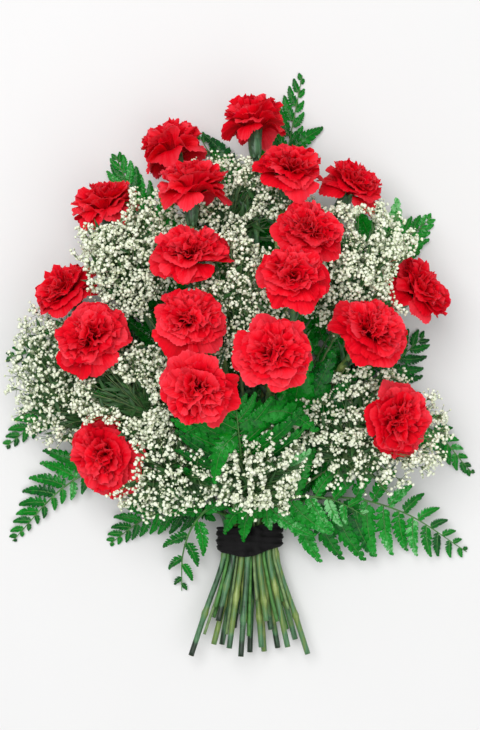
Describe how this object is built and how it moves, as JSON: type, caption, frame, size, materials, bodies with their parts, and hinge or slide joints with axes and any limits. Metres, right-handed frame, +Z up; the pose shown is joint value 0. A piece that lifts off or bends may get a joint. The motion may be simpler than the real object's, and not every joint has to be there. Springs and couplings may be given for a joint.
{
  "type": "hand-tied bunch of cut carnations with gypsophila and fern",
  "caption": "Flat hand-tied bunch of red carnations with white gypsophila and leatherleaf fern, bound with a black ribbon above splayed cut stems, lying on its back.",
  "frame": {"origin": "middle of the bounding box, on the surface that the bunch lies on", "axes": "+Y from the cut ends to the top bloom, +X to the right as seen from above, +Z up, away from the surface"},
  "size_m": [0.4812, 0.5944, 0.2294],
  "materials": {
    "petal_red": "matte",
    "stem_green": "satin",
    "fern_green": "satin",
    "gypsophila_white": "matte",
    "ribbon_black": "matte"
  },
  "bodies": {
    "root": {"carnation_01_stem": "stem_green", "carnation_02_stem": "stem_green", "carnation_03_stem": "stem_green", "carnation_04_stem": "stem_green", "carnation_05_stem": "stem_green", "carnation_06_stem": "stem_green", "carnation_07_stem": "stem_green", "carnation_08_stem": "stem_green", "carnation_09_stem": "stem_green", "carnation_10_stem": "stem_green", "carnation_11_stem": "stem_green", "carnation_12_stem": "stem_green", "carnation_13_stem": "stem_green", "carnation_14_stem": "stem_green", "carnation_15_stem": "stem_green", "carnation_16_stem": "stem_green", "carnation_17_stem": "stem_green", "carnation_18_stem": "stem_green", "carnation_01_bloom": "petal_red", "carnation_02_bloom": "petal_red", "carnation_03_bloom": "petal_red", "carnation_04_bloom": "petal_red", "carnation_05_bloom": "petal_red", "carnation_06_bloom": "petal_red", "carnation_07_bloom": "petal_red", "carnation_08_bloom": "petal_red", "carnation_09_bloom": "petal_red", "carnation_10_bloom": "petal_red", "carnation_11_bloom": "petal_red", "carnation_12_bloom": "petal_red", "carnation_13_bloom": "petal_red", "carnation_14_bloom": "petal_red", "carnation_15_bloom": "petal_red", "carnation_16_bloom": "petal_red", "carnation_17_bloom": "petal_red", "carnation_18_bloom": "petal_red", "ribbon": "ribbon_black", "fern_top": "fern_green", "fern_top_left": "fern_green", "fern_upper_left": "fern_green", "fern_upper_right": "fern_green", "fern_right": "fern_green", "fern_far_right": "fern_green", "fern_lower_right": "fern_green", "fern_over_ribbon": "fern_green", "fern_lower_left": "fern_green", "fern_left": "fern_green", "fern_far_left": "fern_green", "fern_front": "fern_green", "fern_below_left": "fern_green", "fern_by_stems": "fern_green", "gypsophila_upper_left": "gypsophila_white", "gypsophila_far_left": "gypsophila_white", "gypsophila_left": "gypsophila_white", "gypsophila_lower_left": "gypsophila_white", "gypsophila_front": "gypsophila_white", "gypsophila_centre": "gypsophila_white", "gypsophila_right": "gypsophila_white", "gypsophila_lower_right": "gypsophila_white", "gypsophila_top": "gypsophila_white"}
  },
  "joints": []
}
